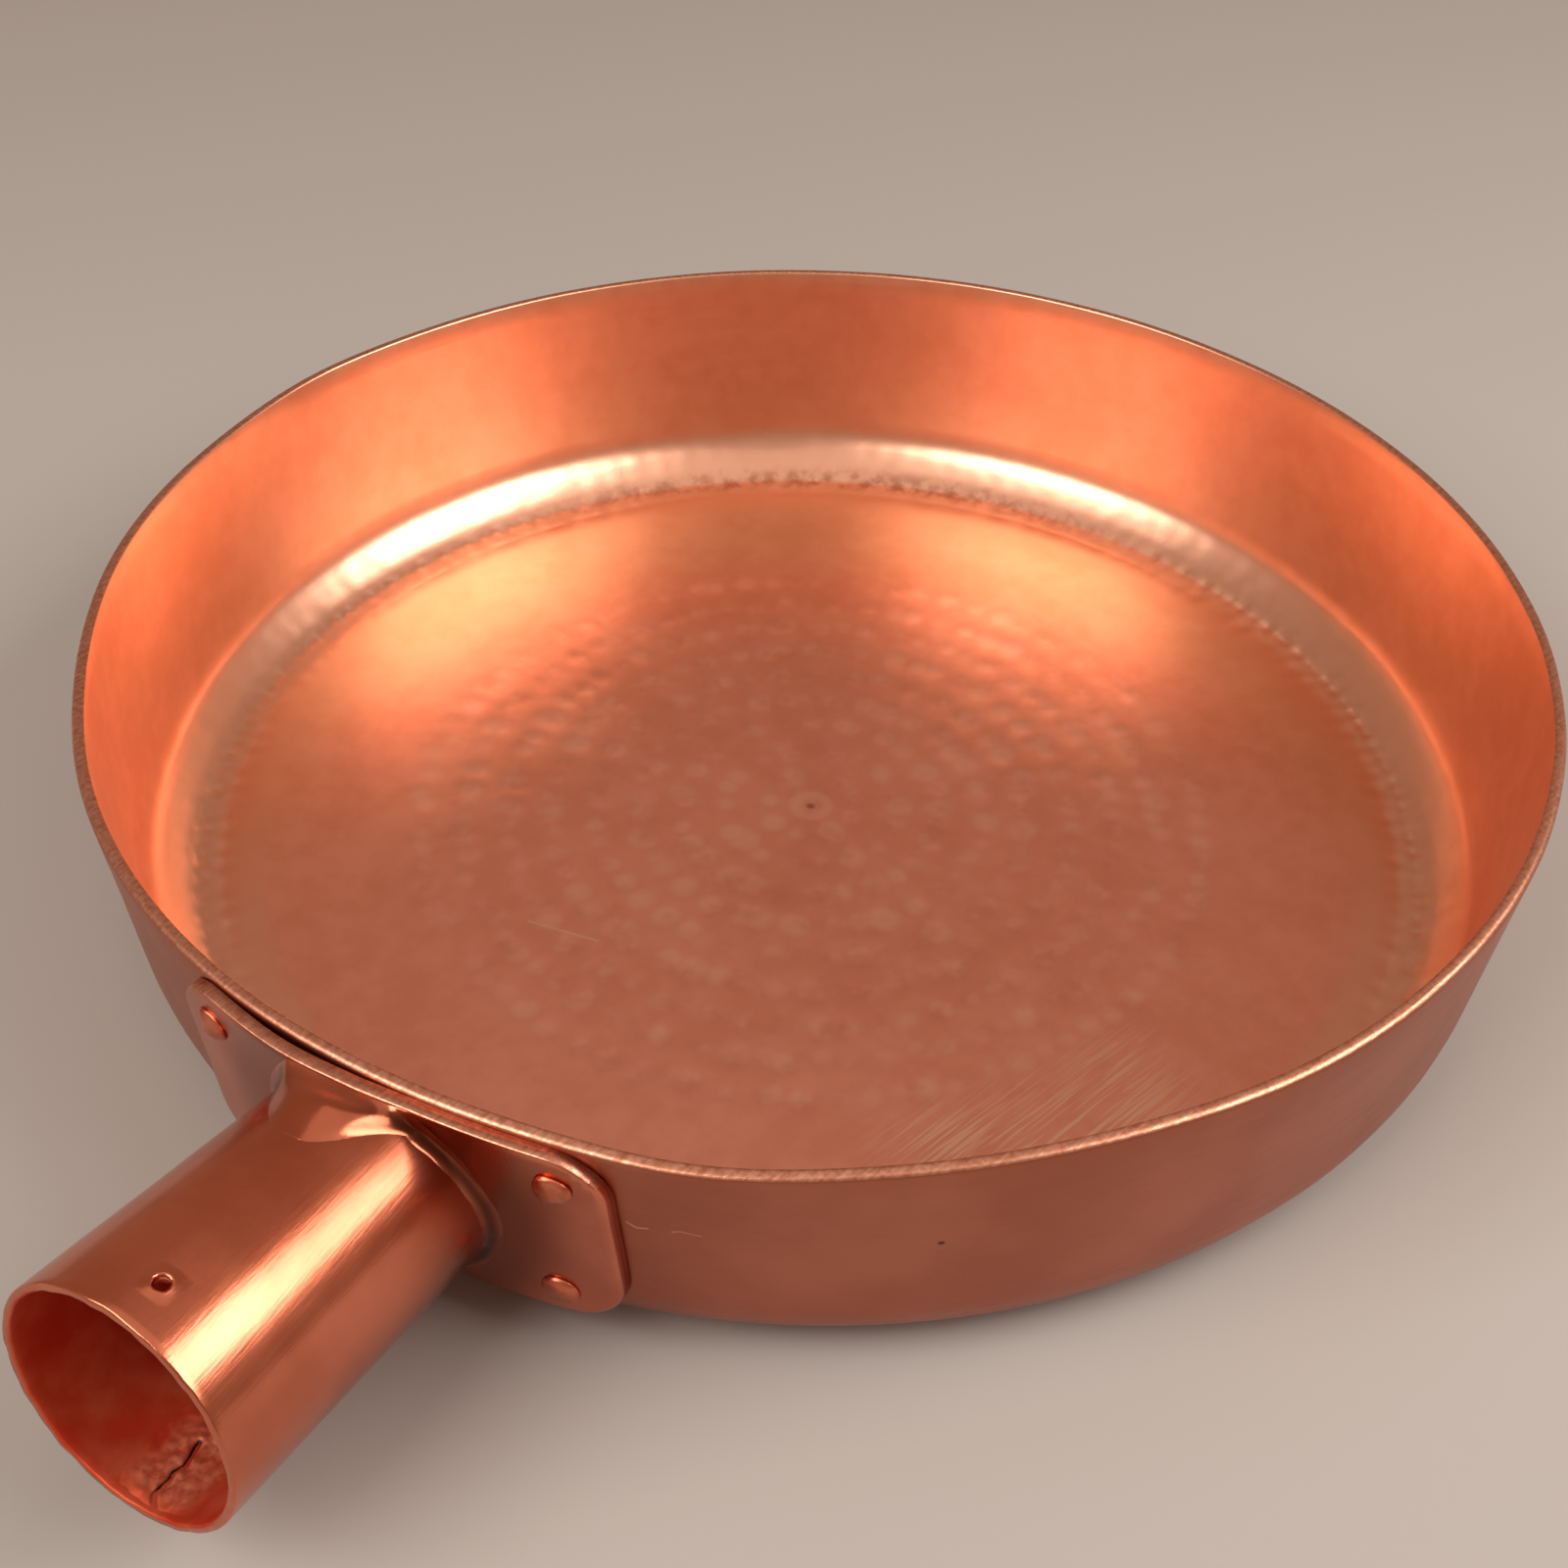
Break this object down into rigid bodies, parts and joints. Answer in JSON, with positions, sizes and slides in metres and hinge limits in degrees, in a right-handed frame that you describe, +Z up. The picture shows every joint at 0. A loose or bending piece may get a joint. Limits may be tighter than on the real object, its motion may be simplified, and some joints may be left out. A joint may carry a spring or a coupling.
{
  "type": "copper frying pan",
  "caption": "Round hand-raised copper frying pan with a flared wall and a riveted, brazed tube socket that takes a wooden handle.",
  "frame": {"origin": "centre of the flat underside, on the bowl's axis", "axes": "+Z up out of the bowl, +X out over the handle socket"},
  "size_m": [0.3134, 0.26, 0.0536],
  "materials": {
    "bowl_copper": "satin copper, hammered on the floor and corner, brushed on the wall",
    "fitting_copper": "polished sheet copper",
    "braze": "rough copper-phosphorus filler, filed smooth at the foot",
    "rivet_copper": "hammered copper"
  },
  "bodies": {
    "root": {"pan_body": "bowl_copper", "mounting_flange": "fitting_copper", "handle_socket": "fitting_copper", "foot_braze": "braze", "seam_braze": "braze", "rivet_upper_right": "rivet_copper", "rivet_lower_right": "rivet_copper", "rivet_upper_left": "rivet_copper", "rivet_lower_left": "rivet_copper"}
  },
  "joints": []
}
